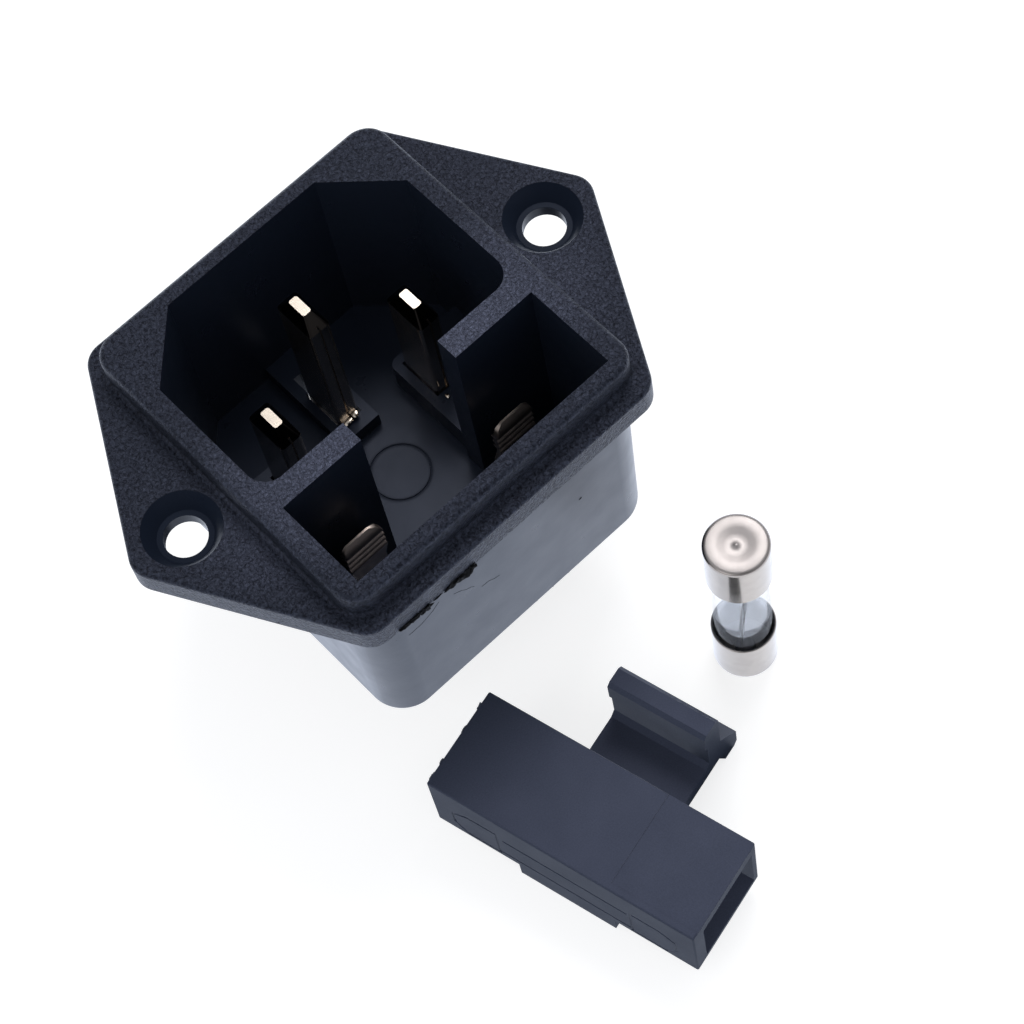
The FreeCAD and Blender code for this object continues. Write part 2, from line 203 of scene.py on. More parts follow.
def front_mask(tree, place):
    """1 on the flange and the raised front, 0 on the body and inside the openings."""
    axes = add_node(tree, "SeparateXYZ", links={0: place})
    above = add_node(
        tree, "Math", {"operation": "GREATER_THAN"}, {1: -0.05 * MM}, {0: axes.outputs["Z"]},
    )
    half = add_node(tree, "Math", {"operation": "ABSOLUTE"}, links={0: axes.outputs["X"]})
    beside = add_node(
        tree, "Math", {"operation": "GREATER_THAN"}, {1: OPENINGS_HALF_X}, {0: half.outputs[0]},
    )
    deep = add_node(tree, "Math", {"operation": "ABSOLUTE"}, links={0: axes.outputs["Y"]})
    past = add_node(
        tree, "Math", {"operation": "GREATER_THAN"}, {1: OPENINGS_HALF_Y}, {0: deep.outputs[0]},
    )
    top = add_node(
        tree, "Math", {"operation": "GREATER_THAN"}, {1: FRONT_Z - 0.05 * MM}, {0: axes.outputs["Z"]},
    )
    outside = add_node(
        tree, "Math", {"operation": "MAXIMUM"}, links={0: beside.outputs[0], 1: past.outputs[0]},
    )
    outside = add_node(
        tree, "Math", {"operation": "MAXIMUM"}, links={0: outside.outputs[0], 1: top.outputs[0]},
    )
    from_hole = add_node(tree, "Math", {"operation": "SUBTRACT"}, {1: HOLE_X}, {0: half.outputs[0]})
    reach = add_node(tree, "CombineXYZ", links={0: from_hole.outputs[0], 1: deep.outputs[0]})
    distance = add_node(tree, "VectorMath", {"operation": "LENGTH"}, links={0: reach.outputs[0]})
    clear = add_node(
        tree, "Math", {"operation": "GREATER_THAN"}, {1: SINK_R}, {0: distance.outputs["Value"]},
    )
    outside = add_node(
        tree, "Math", {"operation": "MULTIPLY"}, links={0: outside.outputs[0], 1: clear.outputs[0]},
    )
    return add_node(
        tree, "Math", {"operation": "MULTIPLY"}, links={0: outside.outputs[0], 1: above.outputs[0]},
    ).outputs[0]


def polished_gloss(tree, place):
    """Gloss of the polished faces: dull in ejector ring and holes, strong on the narrow sides as
    painted sheen.
    """
    shifted = add_node(tree, "VectorMath", {"operation": "ADD"}, {1: (0, -EJECTOR_Y, 0)}, {0: place})
    flat = add_node(
        tree, "VectorMath", {"operation": "MULTIPLY"}, {1: (1, 1, 0)}, {0: shifted.outputs[0]},
    )
    away = add_node(tree, "VectorMath", {"operation": "LENGTH"}, links={0: flat.outputs[0]})
    off = add_node(tree, "Math", {"operation": "SUBTRACT"}, {1: EJECTOR_R}, {0: away.outputs["Value"]})
    off = add_node(tree, "Math", {"operation": "ABSOLUTE"}, links={0: off.outputs[0]})
    fade = {"From Min": 0.04 * MM, "From Max": 0.28 * MM, "To Min": 0.15, "To Max": 0.5}
    ring = add_node(tree, "MapRange", {}, fade, {"Value": off.outputs[0]})
    axes = add_node(tree, "SeparateXYZ", links={0: place})
    half = add_node(tree, "Math", {"operation": "ABSOLUTE"}, links={0: axes.outputs["X"]})
    # Painted sheen: low on the narrow ends the gloss is twice the plain polished level
    low = {"From Min": -0.4 * MM, "From Max": -0.1 * MM, "To Min": 2.0, "To Max": 0.2}
    aside = add_node(tree, "MapRange", {}, low, {"Value": axes.outputs["Z"]})
    edge = {"From Min": 13.4 * MM, "From Max": 13.5 * MM, "To Min": 1.0}
    beside = add_node(
        tree, "MapRange", {}, edge, {"Value": half.outputs[0], "To Max": aside.outputs["Result"]},
    )
    return add_node(
        tree, "Math", {"operation": "MULTIPLY"},
        links={0: ring.outputs["Result"], 1: beside.outputs["Result"]},
    ).outputs[0]


def eroded_nylon():
    """Black nylon from a tool with an eroded, dull front with pits and polished, shining sides; its
    pits carry painted shade.
    """
    material, tree, shader = new_material("eroded_nylon")
    place = add_node(tree, "TexCoord").outputs["Object"]
    mask = front_mask(tree, place)
    grain = {"Scale": 1 / sizes().grain, "Detail": 2.0, "Roughness": 0.6, "Distortion": 0.8}
    height = add_node(tree, "TexNoise", {}, grain, {"Vector": place}).outputs["Fac"]
    flow = add_node(tree, "TexNoise", {}, {"Scale": 1 / (2.5 * MM), "Detail": 4.0}, {"Vector": place})
    masked = add_node(tree, "Math", {"operation": "MULTIPLY"}, links={0: height, 1: mask})
    total = add_node(
        tree, "Math", {"operation": "MULTIPLY_ADD"}, {1: 0.12},
        {0: flow.outputs["Fac"], 2: masked.outputs[0]},
    )
    bump = add_node(
        tree, "Bump", {}, {"Strength": 1.0, "Distance": sizes().grain_depth},
        {"Height": total.outputs[0]},
    )
    tree.links.new(bump.outputs["Normal"], shader.inputs["Normal"])
    cloud = add_node(
        tree, "MapRange", {}, {"From Min": 0.3, "From Max": 0.7, "To Min": 0.27, "To Max": 0.34},
        {"Value": flow.outputs["Fac"]},
    )
    rough = add_node(
        tree, "MapRange", {}, {"To Max": 0.42}, {"Value": mask, "To Min": cloud.outputs["Result"]},
    )
    tree.links.new(rough.outputs["Result"], shader.inputs["Roughness"])
    # Painted shade: the pits of the grain get a darker colour and less gloss than its crests
    contrast = add_node(
        tree, "MapRange", {}, {"From Min": 0.33, "From Max": 0.67}, {"Value": masked.outputs[0]},
    )
    pit_shade_tone = add_node(
        tree, "Mix", {"data_type": "RGBA"}, {"A": rgba(linear("050609")), "B": rgba(linear("262a33"))},
        {"Factor": contrast.outputs["Result"]},
    )
    tone = add_node(
        tree, "Mix", {"data_type": "RGBA"}, {"A": rgba(colours().moulding)},
        {"Factor": mask, "B": pit_shade_tone.outputs["Result"]},
    )
    tree.links.new(tone.outputs["Result"], shader.inputs["Base Color"])
    cool_gloss(shader)
    # Painted shade: the polished faces get a darker, greyer gloss tint than the front
    tint = add_node(
        tree, "Mix", {"data_type": "RGBA"}, {"A": rgba(linear("8b90a0")), "B": rgba(linear("bfc6ea"))},
        {"Factor": mask},
    )
    tree.links.new(tint.outputs["Result"], shader.inputs["Specular Tint"])
    pit_shade_gloss = add_node(
        tree, "MapRange", {}, {"To Min": 0.31, "To Max": 0.56}, {"Value": contrast.outputs["Result"]},
    )
    # Painted sheen: gloss scaled from 0.58 far from the openings up to 1.7 on the bars
    painted_sheen_rise = add_node(
        tree, "MapRange", {}, {"To Min": 0.58, "To Max": 1.7}, {"Value": painted_sheen_near_openings(tree, place)},
    )
    gloss = add_node(
        tree, "Math", {"operation": "MULTIPLY"},
        links={0: pit_shade_gloss.outputs["Result"], 1: painted_sheen_rise.outputs["Result"]},
    )
    level = add_node(
        tree, "MapRange", {},
        links={"Value": mask, "To Min": polished_gloss(tree, place), "To Max": gloss.outputs[0]},
    )
    shader.inputs["Specular IOR Level"].default_value = 0.42
    tree.links.new(level.outputs["Result"], shader.inputs["Specular IOR Level"])
    return material


def torn_nylon_and_shade():
    """Nylon flash where it tore off: black and without shine; the black is partly painted shade in the
    crease under the flange.
    """
    material, tree, shader = new_material("torn_nylon_and_shade")
    shader.inputs["Base Color"].default_value = rgba(linear("08090c"))
    shader.inputs["Roughness"].default_value = 0.8
    shader.inputs["Specular IOR Level"].default_value = 0.15
    return material


def drawer_nylon():
    """Black nylon from a finely dulled tool: an even satin with a trace of flow lines."""
    material, tree, shader = new_material("drawer_nylon")
    # The real skin is finer than the picture can show, so its speckle is drawn coarser
    place = add_node(tree, "TexCoord").outputs["Object"]
    fine = add_node(tree, "TexNoise", {}, {"Scale": 1 / (0.12 * MM), "Detail": 2.0}, {"Vector": place})
    flow = add_node(tree, "TexNoise", {}, {"Scale": 1 / (3.0 * MM), "Detail": 3.0}, {"Vector": place})
    height = add_node(
        tree, "Math", {"operation": "MULTIPLY_ADD"}, {1: 0.35},
        {0: fine.outputs["Fac"], 2: flow.outputs["Fac"]},
    )
    bump = add_node(
        tree, "Bump", {}, {"Strength": 0.35, "Distance": 0.03 * MM}, {"Height": height.outputs[0]},
    )
    tree.links.new(bump.outputs["Normal"], shader.inputs["Normal"])
    rough = add_node(
        tree, "MapRange", {}, {"To Min": 0.46, "To Max": 0.58}, {"Value": flow.outputs["Fac"]},
    )
    tree.links.new(rough.outputs["Result"], shader.inputs["Roughness"])
    # Painted shade: upright faces such as the sides and the snap plate get almost no gloss, so they
    # come out darker than the top
    upright = add_node(
        tree, "SeparateXYZ", links={0: add_node(tree, "NewGeometry").outputs["Normal"]},
    ).outputs["Z"]
    level = add_node(
        tree, "MapRange", {}, {"From Min": 0.3, "From Max": 0.8, "To Min": 0.03, "To Max": 0.5},
        {"Value": upright},
    )
    shader.inputs["Specular IOR Level"].default_value = 0.3
    tree.links.new(level.outputs["Result"], shader.inputs["Specular IOR Level"])
    tone = {
        "A": rgba([c * 0.6 for c in colours().drawer]),
        "B": rgba([c * 1.4 for c in colours().drawer]),
    }
    speckle = add_node(tree, "Mix", {"data_type": "RGBA"}, tone, {"Factor": fine.outputs["Fac"]})
    tree.links.new(speckle.outputs["Result"], shader.inputs["Base Color"])
    cool_gloss(shader)
    return material


def painted_shade_behind(tree, place, tone):
    """Paints shade into the plating of the tabs behind the housing, which a white floor would make
    white.
    """
    depth = add_node(tree, "SeparateXYZ", links={0: place}).outputs["Z"]
    behind = add_node(
        tree, "MapRange", {}, {"From Min": -13.5 * MM, "From Max": -15.5 * MM}, {"Value": depth},
    )
    grey = {"B": rgba(linear("8d8884"))}
    return add_node(
        tree, "Mix", {"data_type": "RGBA"}, grey,
        {"Factor": behind.outputs["Result"], "A": tone.outputs["Result"]},
    )


def nickel(name, colour, low_rough, high_rough, grain, slant_shade=None):
    """Nickel plate on brass: warm and bright with faint stains and rubs, with painted shade on its
    slanted faces.
    """
    material, tree, shader = new_material(name)
    place = add_node(tree, "TexCoord").outputs["Object"]
    stain = add_node(tree, "TexNoise", {}, {"Scale": 1 / (1.4 * MM), "Detail": 5.0}, {"Vector": place})
    rub = add_node(tree, "TexNoise", {}, {"Scale": 1 / grain, "Detail": 3.0}, {"Vector": place})
    tone = add_node(
        tree, "Mix", {"data_type": "RGBA"},
        {"A": rgba(colour), "B": rgba([c * 0.8 for c in colour[:3]])}, {"Factor": stain.outputs["Fac"]},
    )
    if slant_shade:
        # Painted shade: faces that slope between upright and flat get a dark colour
        upright = add_node(
            tree, "SeparateXYZ", links={0: add_node(tree, "NewGeometry").outputs["Normal"]},
        ).outputs["Z"]
        slant = add_node(
            tree, "MapRange", {}, {"From Min": 0.05, "From Max": 0.12, "To Max": 1.0},
            {"Value": upright},
        )
        flat = add_node(
            tree, "MapRange", {}, {"From Min": 0.85, "From Max": 0.95, "To Min": 1.0, "To Max": 0.0},
            {"Value": upright},
        )
        share = add_node(
            tree, "Math", {"operation": "MULTIPLY"},
            links={0: slant.outputs["Result"], 1: flat.outputs["Result"]},
        )
        tone = add_node(
            tree, "Mix", {"data_type": "RGBA"}, {"B": rgba(slant_shade)},
            {"Factor": share.outputs[0], "A": tone.outputs["Result"]},
        )
        tone = painted_shade_behind(tree, place, tone)
    tree.links.new(tone.outputs["Result"], shader.inputs["Base Color"])
    rough = add_node(
        tree, "MapRange", {}, {"To Min": low_rough, "To Max": high_rough},
        {"Value": stain.outputs["Fac"]},
    )
    tree.links.new(rough.outputs["Result"], shader.inputs["Roughness"])
    bump = add_node(
        tree, "Bump", {}, {"Strength": 0.06, "Distance": 0.01 * MM}, {"Height": rub.outputs["Fac"]},
    )
    tree.links.new(bump.outputs["Normal"], shader.inputs["Normal"])
    shader.inputs["Metallic"].default_value = 1
    return material


def tarnished_nickel(name, pale, dark):
    """Nickel on spring brass that has gone dull and pinkish, so it shows its beads deep in the bay."""
    material, tree, shader = new_material(name)
    place = add_node(tree, "TexCoord").outputs["Object"]
    stain = add_node(tree, "TexNoise", {}, {"Scale": 1 / (0.9 * MM), "Detail": 4.0}, {"Vector": place})
    tone = add_node(
        tree, "Mix", {"data_type": "RGBA"}, {"A": rgba(linear(pale)), "B": rgba(linear(dark))},
        {"Factor": stain.outputs["Fac"]},
    )
    tree.links.new(painted_shade_behind(tree, place, tone).outputs["Result"], shader.inputs["Base Color"])
    shader.inputs["Metallic"].default_value = 1
    shader.inputs["Roughness"].default_value = 0.34
    return material


def cap_plate():
    """Nickel plate drawn into a cup: bright along the side, satin on the pressed end, which also gets a
    painted shade.
    """
    material, tree, shader = new_material("nickel_cap")
    place = add_node(tree, "TexCoord").outputs["Object"]
    axes = add_node(tree, "SeparateXYZ", links={0: add_node(tree, "NewGeometry").outputs["Normal"]})
    upright = add_node(tree, "Math", {"operation": "ABSOLUTE"}, links={0: axes.outputs["Z"]})
    stain = add_node(
        tree, "TexNoise", {}, {"Scale": 1 / (1.1 * MM), "Detail": 5.0, "Roughness": 0.6},
        {"Vector": place},
    )
    tone = add_node(
        tree, "Mix", {"data_type": "RGBA"},
        {"A": rgba(colours().cap), "B": rgba([c * 0.72 for c in colours().cap])},
        {"Factor": stain.outputs["Fac"]},
    )
    # Painted shade: faces that point along the axis, the cap's ends, get a darker, greyer colour
    tone = add_node(
        tree, "Mix", {"data_type": "RGBA"}, {"B": rgba(linear("9a9492"))},
        {"Factor": upright.outputs[0], "A": tone.outputs["Result"]},
    )
    tree.links.new(tone.outputs["Result"], shader.inputs["Base Color"])
    dull = add_node(
        tree, "MapRange", {}, {"From Min": 0.6, "To Min": 0.13, "To Max": 0.34},
        {"Value": upright.outputs[0]},
    )
    rough = add_node(
        tree, "Math", {"operation": "MULTIPLY_ADD"}, {1: 0.12},
        {0: stain.outputs["Fac"], 2: dull.outputs["Result"]},
    )
    tree.links.new(rough.outputs[0], shader.inputs["Roughness"])
    bump = add_node(
        tree, "Bump", {}, {"Strength": 0.3, "Distance": 0.02 * MM}, {"Height": stain.outputs["Fac"]},
    )
    tree.links.new(bump.outputs["Normal"], shader.inputs["Normal"])
    shader.inputs["Metallic"].default_value = 1
    return material


def cap_cement_and_shade():
    """Dark cement and unplated brass inside a cap, seen through the glass; the dark is partly painted
    shade.
    """
    material, tree, shader = new_material("cap_cement_and_shade")
    place = add_node(tree, "TexCoord").outputs["Object"]
    lumps = add_node(tree, "TexNoise", {}, {"Scale": 1 / (0.5 * MM), "Detail": 2.0}, {"Vector": place})
    tone = add_node(
        tree, "Mix", {"data_type": "RGBA"}, {"A": rgba(linear("0e0f13")), "B": rgba(linear("26282e"))},
        {"Factor": lumps.outputs["Fac"]},
    )
    tree.links.new(tone.outputs["Result"], shader.inputs["Base Color"])
    shader.inputs["Roughness"].default_value = 0.5
    return material


def fuse_glass():
    """Drawn soda-lime glass: most light passes straight, so the dark cap shows in its end."""
    material, tree, shader = new_material("fuse_glass")
    shader.inputs["Base Color"].default_value = (1, 1, 1, 1)
    shader.inputs["Roughness"].default_value = 0.0
    shader.inputs["IOR"].default_value = 1.52
    shader.inputs["Transmission Weight"].default_value = 1
    place = add_node(tree, "TexCoord").outputs["Object"]
    draw = add_node(tree, "TexNoise", {}, {"Scale": 1 / (4 * MM), "Detail": 1.0}, {"Vector": place})
    bump = add_node(
        tree, "Bump", {}, {"Strength": 0.1, "Distance": 0.01 * MM}, {"Height": draw.outputs["Fac"]},
    )
    tree.links.new(bump.outputs["Normal"], shader.inputs["Normal"])
    clear = add_node(tree, "BsdfTransparent")
    both = add_node(tree, "MixShader", {}, {0: 0.22}, {1: clear.outputs[0], 2: shader.outputs[0]})
    tree.links.new(both.outputs[0], tree.nodes["Material Output"].inputs["Surface"])
    return material


def dull_solder():
    """Tin solder drawn dark grey and not metallic, which looks like a grey pool in the end of the
    glass.
    """
    material, tree, shader = new_material("dull_solder")
    place = add_node(tree, "TexCoord").outputs["Object"]
    skin = add_node(tree, "TexNoise", {}, {"Scale": 1 / (0.4 * MM), "Detail": 3.0}, {"Vector": place})
    bump = add_node(
        tree, "Bump", {}, {"Strength": 0.4, "Distance": 0.03 * MM}, {"Height": skin.outputs["Fac"]},
    )
    tree.links.new(bump.outputs["Normal"], shader.inputs["Normal"])
    shader.inputs["Base Color"].default_value = rgba(linear("3a3c44"))
    shader.inputs["Roughness"].default_value = 0.4
    return material


def to_object(shell, name, material, node=None):
    """Makes a finished piece of a bmesh: smooth faces, sharp edges kept, riding on the part."""
    mesh = bpy.data.meshes.new(name)
    shell.to_mesh(mesh)
    shell.free()
    if "custom_normal" in mesh.attributes:
        mesh.attributes.remove(mesh.attributes["custom_normal"])
    mesh.materials.clear()
    mesh.materials.append(material)
    mesh.shade_smooth()
    mesh.set_sharp_from_angle(angle=SMOOTH_ANGLE)
    piece = bpy.data.objects.new(name, mesh)
    bpy.context.scene.collection.objects.link(piece)
    weighted = piece.modifiers.new("even_normals", "WEIGHTED_NORMAL")
    weighted.keep_sharp = True
    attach(piece, "root")
    if node:
        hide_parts(node)
    return piece


def lined(piece, material):
    """Gives the inside of a cap and the inner edge of its mouth the dark lining, which is partly
    painted shade.
    """
    piece.data.materials.append(material)
    low = min(v.co.z for v in piece.data.vertices)
    high = max(v.co.z for v in piece.data.vertices)
    for face in piece.data.polygons:
        radius = (face.center.xy - Vector((FUSE_X, FUSE_Y))).length
        from_ends = min(face.center.z - low, high - face.center.z)
        from_mouth = high - face.center.z if piece.name == "lower_cap" else face.center.z - low
        if radius < CAP_LINING_R and (from_ends > 0.3 * MM or from_mouth < 0.1 * MM):
            face.material_index = 1


def softened(piece, width):
    """A narrow bevel along every sharp edge, as a mould gives."""
    bevel = piece.modifiers.new("soft_edges", "BEVEL")
    bevel.width = width
    bevel.segments = 2
    bevel.limit_method = "ANGLE"
    bevel.angle_limit = math.radians(40)
    piece.modifiers.move(len(piece.modifiers) - 1, 0)


def merged_copy(node):
    """A bmesh of a CAD node with its loose triangles joined."""
    shell = bmesh.new()
    shell.from_mesh(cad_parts[node].data)
    bmesh.ops.remove_doubles(shell, verts=shell.verts, dist=0.0002 * MM)
    return shell


def turned(profile, x, y, z, steps=72):
    """A bmesh turned about an upright axis from (radius, height) points in millimetres."""
    shell = bmesh.new()
    points = [shell.verts.new((r * MM, 0, h * MM)) for r, h in profile]
    for a, b in zip(points, points[1:]):
        shell.edges.new((a, b))
    bmesh.ops.spin(
        shell, geom=shell.verts[:] + shell.edges[:], axis=(0, 0, 1), cent=(0, 0, 0), angle=math.tau,
        steps=steps, use_merge=True,
    )
    bmesh.ops.remove_doubles(shell, verts=shell.verts, dist=0.002 * MM)
    bmesh.ops.recalc_face_normals(shell, faces=shell.faces)
    bmesh.ops.translate(shell, verts=shell.verts, vec=(x, y, z))
    return shell


def mirrored_up(shell, height):
    """Turns a bmesh end over end about its middle height."""
    bmesh.ops.transform(
        shell, matrix=Matrix.Translation((0, 0, height)) @ Matrix.Scale(-1, 4, (0, 0, 1)),
        verts=shell.verts,
    )
    bmesh.ops.recalc_face_normals(shell, faces=shell.faces)
    return shell


# Half sections of a cap and of the tube, as (radius, height) points in millimetres
CAP_PROFILE = [
    (0, 0.1), (0.1, 0.1), (0.18, 0.15), (0.6, 0.17), (1.0, 0.12), (1.4, 0.04), (1.75, 0), (2.25, 0.01),
    (2.42, 0.04), (2.53, 0.11), (2.59, 0.22), (2.6, 0.36), (2.6, 5.08), (2.57, 5.17), (2.5, 5.2),
    (2.38, 5.12), (2.35, 5.0), (2.35, 0.35), (0, 0.35),
]
TUBE_PROFILE = [(1.95, 0.45), (2.33, 0.45), (2.33, 19.55), (1.95, 19.55), (1.95, 0.45)]

# Torn flash at the mould's parting line: places and radii in millimetres
FLASH_LUMPS = [
    ((-11.1, -16.35, 0.05), (0.6, 0.16, 0.2)),
    ((-10.1, -16.35, 0.0), (0.7, 0.18, 0.24)),
    ((-9.2, -16.35, -0.15), (0.5, 0.18, 0.38)),
    ((-8.1, -16.35, 0.0), (0.5, 0.06, 0.07)),
    ((-6.4, -16.35, 0.0), (0.8, 0.2, 0.3)),
    ((-5.5, -16.35, -0.1), (0.6, 0.24, 0.42)),
    ((-4.8, -16.35, -0.05), (0.5, 0.22, 0.36)),
    ((0.8, -14.69, -17.8), (0.2, 0.08, 0.14)),
    ((2.6, -14.69, -17.8), (0.14, 0.08, 0.12)),
    ((4.3, -14.69, -17.8), (0.18, 0.08, 0.14)),
    ((6.56, -14.97, -7.5), (0.12, 0.02, 0.12)),
    ((-17.4, -9.68, 0.3), (0.15, 0.14, 0.12)),
    ((-17.0, -10.3, 0.3), (0.12, 0.12, 0.1)),
    ((-16.15, -11.85, 0.3), (0.2, 0.16, 0.14)),
    ((-19.25, -5.78, 0.3), (0.12, 0.12, 0.1)),
    ((20.4, -4.16, 1.2), (0.14, 0.14, 0.16)),
    ((19.5, -5.75, 1.6), (0.1, 0.1, 0.12)),
]

# The body at the flange, in millimetres, and the hairlines on its side as (x, z) points
BODY_HALF_X, BODY_HALF_Y = 13.85, 15.1
BODY_CORNER_R = 3.2
BODY_DRAFT = math.radians(1)
HAIRLINES = [
    [(-12.9, -3.4), (-11.6, -4.5), (-10.5, -5.04), (-9.25, -5.03), (-8.1, -4.55), (-7.4, -4.0)],
    [(-6.05, -4.84), (-5.4, -5.3), (-4.91, -5.86), (-4.5, -6.1), (-4.2, -6.5)],
    [(-3.6, -7.51), (-2.9, -7.6), (-2.4, -8.0), (-1.86, -8.2)],
]

# The spring strips: node, low and high x, top, and the radii of the two top corners, in millimetres
SPRING_STRIPS = [
    ("line_fuse_clip", -9.8, -6.2, -4.1, 0.5, 0.95),
    ("live_terminal", 5.3, 8.9, -5.7, 0.95, 0.5),
]
CONTACT_Y = -7.35
STRIP_T = 0.5
BEADS = 3
BEADS_START = 0.75
BEAD_PITCH = 0.78
BEAD_DEPTH = 0.38
STRIP_LAP = 0.05

# Splayed corners of the earth pin where it meets the floor, and two nickel beads at the neutral pin's
# foot as painted glints: places and radii in millimetres
FOOT_LUGS_AND_GLINTS = [
    ((-0.35, 5.1, -12.3), (0.6, 0.3, 0.12)),
    ((0.45, 5.2, -12.1), (0.34, 0.42, 0.16)),
    ((6.5, 4.9, -11.4), (0.16, 0.16, 0.08)),
    ((6.45, 0.6, -11.4), (0.16, 0.22, 0.08)),
]

# Burrs along the drawer's closed end, in its own frame: places and radii in millimetres
DRAWER_BURRS = [
    ((0.03, 0.8, 7.58), (0.08, 0.3, 0.08)),
    ((0.02, 2.1, 7.6), (0.12, 0.25, 0.08)),
    ((0.03, 5.2, 7.6), (0.08, 0.3, 0.06)),
    ((0.02, 7.4, 7.6), (0.14, 0.3, 0.1)),
]

# The engraved fuse outline, as (along, up) points in millimetres on the drawer's front
FUSE_OUTLINE = [
    [(1.86, 3.67), (3.29, 4.63), (5.95, 4.68), (5.95, 0.6), (2.87, 0.59), (1.86, 1.86), (1.86, 3.67)],
    [(6.5, 3.97), (17.75, 3.97)],
    [(6.1, 1.0), (17.9, 1.0)],
    [(22.14, 3.67), (20.7, 4.5), (18.05, 4.5), (18.05, 0.55), (21.1, 0.5), (22.14, 1.8), (22.14, 3.67)],
]


def joined(shells):
    """One bmesh of several."""
    whole = bmesh.new()
    for shell in shells:
        mesh = bpy.data.meshes.new("joined")
        shell.to_mesh(mesh)
        shell.free()
        whole.from_mesh(mesh)
        bpy.data.meshes.remove(mesh)
    return whole


def blob(place, radii, unevenness, seed=0):
    """A small uneven lump, in millimetres."""
    shell = bmesh.new()
    bmesh.ops.create_icosphere(shell, subdivisions=3, radius=1)
    for vert in shell.verts:
        vert.co *= 1 + unevenness * noise.noise(vert.co * 1.7 + Vector((seed, 0, 0)))
    matrix = Matrix.Translation(Vector(place) * MM) @ Matrix.Diagonal((*(Vector(radii) * MM), 1))
    bmesh.ops.transform(shell, matrix=matrix, verts=shell.verts)
    return shell


def on_side(x, z):
    """The point of the body's long side, with its round corner, at x and z in millimetres."""
    narrowing = -z * math.tan(BODY_DRAFT)
    past = max(0, abs(x) - (BODY_HALF_X - narrowing - BODY_CORNER_R))
    y = BODY_HALF_Y - narrowing - BODY_CORNER_R + math.sqrt(BODY_CORNER_R ** 2 - past ** 2)
    return Vector((x, -y, z)) * MM


def swept(rows):
    """A solid that runs through rows of corners, extruded from the first to the last."""
    shell = bmesh.new()
    face = shell.faces.new([shell.verts.new(corner) for corner in rows[0]])
    for row in rows[1:]:
        made = bmesh.ops.extrude_face_region(shell, geom=[face])["geom"]
        face = next(g for g in made if isinstance(g, bmesh.types.BMFace))
        for vert, corner in zip(face.verts, row):
            vert.co = corner
    # Each row but the first and the last still has its own face across the solid
    inner = [f for f in shell.faces if all(len(edge.link_faces) == 3 for edge in f.edges)]
    bmesh.ops.delete(shell, geom=inner, context="FACES_ONLY")
    bmesh.ops.recalc_face_normals(shell, faces=shell.faces)
    return shell


def hairline(points, half_width):
    """A thin ridge along a path on the body's side."""
    corners = [Vector(c) * half_width for c in ((0, 0, 1), (0, -0.6, 0), (0, 0, -1), (0, 0.6, 0))]
    return swept([[point + corner for corner in corners] for point in points])


def strip_line():
    """Front line of a spring strip: points back from its contact line and down, in millimetres."""
    line = [(0.55, 0), (0.3, 0.2), (0.13, 0.37), (0.04, 0.53), (0, BEADS_START)]
    for bead in range(BEADS):
        for step in range(1, 13):
            t = step / 12
            back = BEAD_DEPTH * (1 - math.cos(math.tau * t)) / 2
            line.append((back, BEADS_START + BEAD_PITCH * (bead + t)))
    return line


def without_strip(name, top_z):
    """A copy of a clip's node without the part that the beaded strip takes over, bar a small lap."""
    shell = merged_copy(name)
    cut = Vector((0, 0, top_z - BEADS_START - BEADS * BEAD_PITCH + STRIP_LAP)) * MM
    everything = shell.verts[:] + shell.edges[:] + shell.faces[:]
    made = bmesh.ops.bisect_plane(
        shell, geom=everything, plane_co=cut, plane_no=(0, 0, 1), clear_outer=True,
    )
    rim = [g for g in made["geom_cut"] if isinstance(g, bmesh.types.BMEdge)]
    bmesh.ops.holes_fill(shell, edges=rim)
    return shell


def corner_inset(radius, down):
    """How far a rounded top corner draws the side in, at a depth below the top."""
    return radius - math.sqrt(radius ** 2 - (radius - down) ** 2) if down < radius else 0


def beaded_strip(low_x, high_x, top_z, left_r, right_r):
    """The upper part of a spring strip, with its flared lip and rolled beads."""
    rows = []
    for back, down in strip_line():
        left = low_x + corner_inset(left_r, down)
        right = high_x - corner_inset(right_r, down)
        rear = back + STRIP_T * min(1, 0.35 + 2 * down)
        points = [(left, back), (right, back), (right, rear), (left, rear)]
        rows.append([Vector((x, CONTACT_Y + y, top_z - down)) * MM for x, y in points])
    return swept(rows)


def drawer_place():
    return Matrix.Translation(DRAWER_CORNER) @ Matrix.Rotation(DRAWER_TURN, 4, "Z")


def outline_cutter():
    """A bmesh of thin walls that stand in the drawer's front where the fuse outline is cut."""
    shell = bmesh.new()
    low, high = -0.3 * MM, sizes().mark_depth
    for line in FUSE_OUTLINE:
        closed = line[0] == line[-1]
        points = line[:-1] if closed else line
        verts = [shell.verts.new((a * MM, low, c * MM)) for a, c in points]
        pairs = list(zip(verts, verts[1:])) + ([(verts[-1], verts[0])] if closed else [])
        edges = [shell.edges.new(pair) for pair in pairs]
        made = bmesh.ops.extrude_edge_only(shell, edges=edges)
        moved = [g for g in made["geom"] if isinstance(g, bmesh.types.BMVert)]
        bmesh.ops.translate(shell, verts=moved, vec=(0, high - low, 0))
    bmesh.ops.transform(shell, matrix=drawer_place(), verts=shell.verts)
    return shell


def applied(piece):
    """The piece's mesh with its modifiers in it."""
    view = bpy.context.evaluated_depsgraph_get()
    mesh = bpy.data.meshes.new_from_object(piece.evaluated_get(view))
    shell = bmesh.new()
    shell.from_mesh(mesh)
    bpy.data.meshes.remove(mesh)
    return shell


def plain_object(shell, name):
    mesh = bpy.data.meshes.new(name)
    shell.to_mesh(mesh)
    shell.free()
    piece = bpy.data.objects.new(name, mesh)
    bpy.context.scene.collection.objects.link(piece)
    return piece


